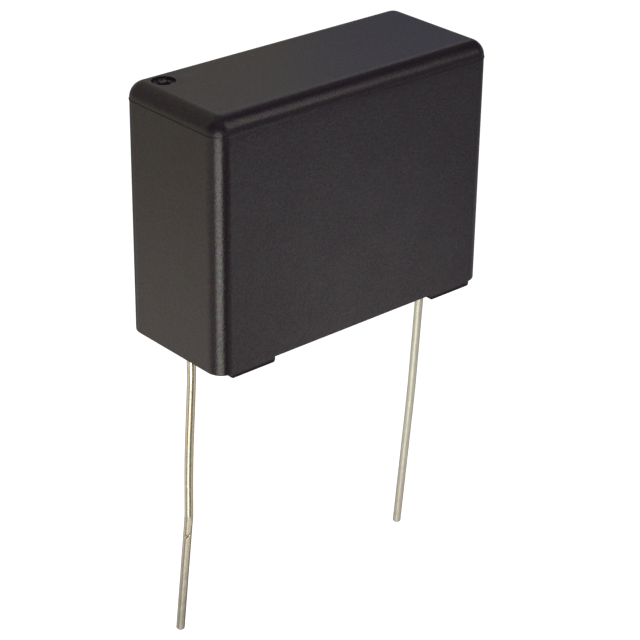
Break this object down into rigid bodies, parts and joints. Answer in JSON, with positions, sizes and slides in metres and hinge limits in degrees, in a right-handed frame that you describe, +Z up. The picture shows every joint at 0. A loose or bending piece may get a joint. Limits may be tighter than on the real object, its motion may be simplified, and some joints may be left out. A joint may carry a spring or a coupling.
{
  "type": "box film capacitor",
  "caption": "Box film capacitor: a film winding potted in a black moulded case on low feet, with long tinned wire leads that solder into a circuit board.",
  "frame": {"origin": "the middle of the lead pattern on the seating plane, where the feet's undersides meet the board", "axes": "+X along the case's long side, +Y to the back, +Z up and away from the board; the leads point along -Z"},
  "size_m": [0.031, 0.0127, 0.0542],
  "materials": {
    "moulded_case": "black moulded polyester with a fine satin spark-eroded texture",
    "epoxy_resin": "black cast epoxy, smooth and slightly glossy",
    "metallised_film": "tightly wound metallised polypropylene film",
    "sprayed_zinc": "flame-sprayed zinc, dull and granular",
    "tinned_wire": "tinned copper wire, satin bright with fine drawing marks"
  },
  "bodies": {
    "root": {"case": "moulded_case", "potting_resin": "epoxy_resin", "film_winding": "metallised_film", "end_contact_left": "sprayed_zinc", "end_contact_right": "sprayed_zinc", "lead_left": "tinned_wire", "lead_right": "tinned_wire"}
  },
  "joints": []
}
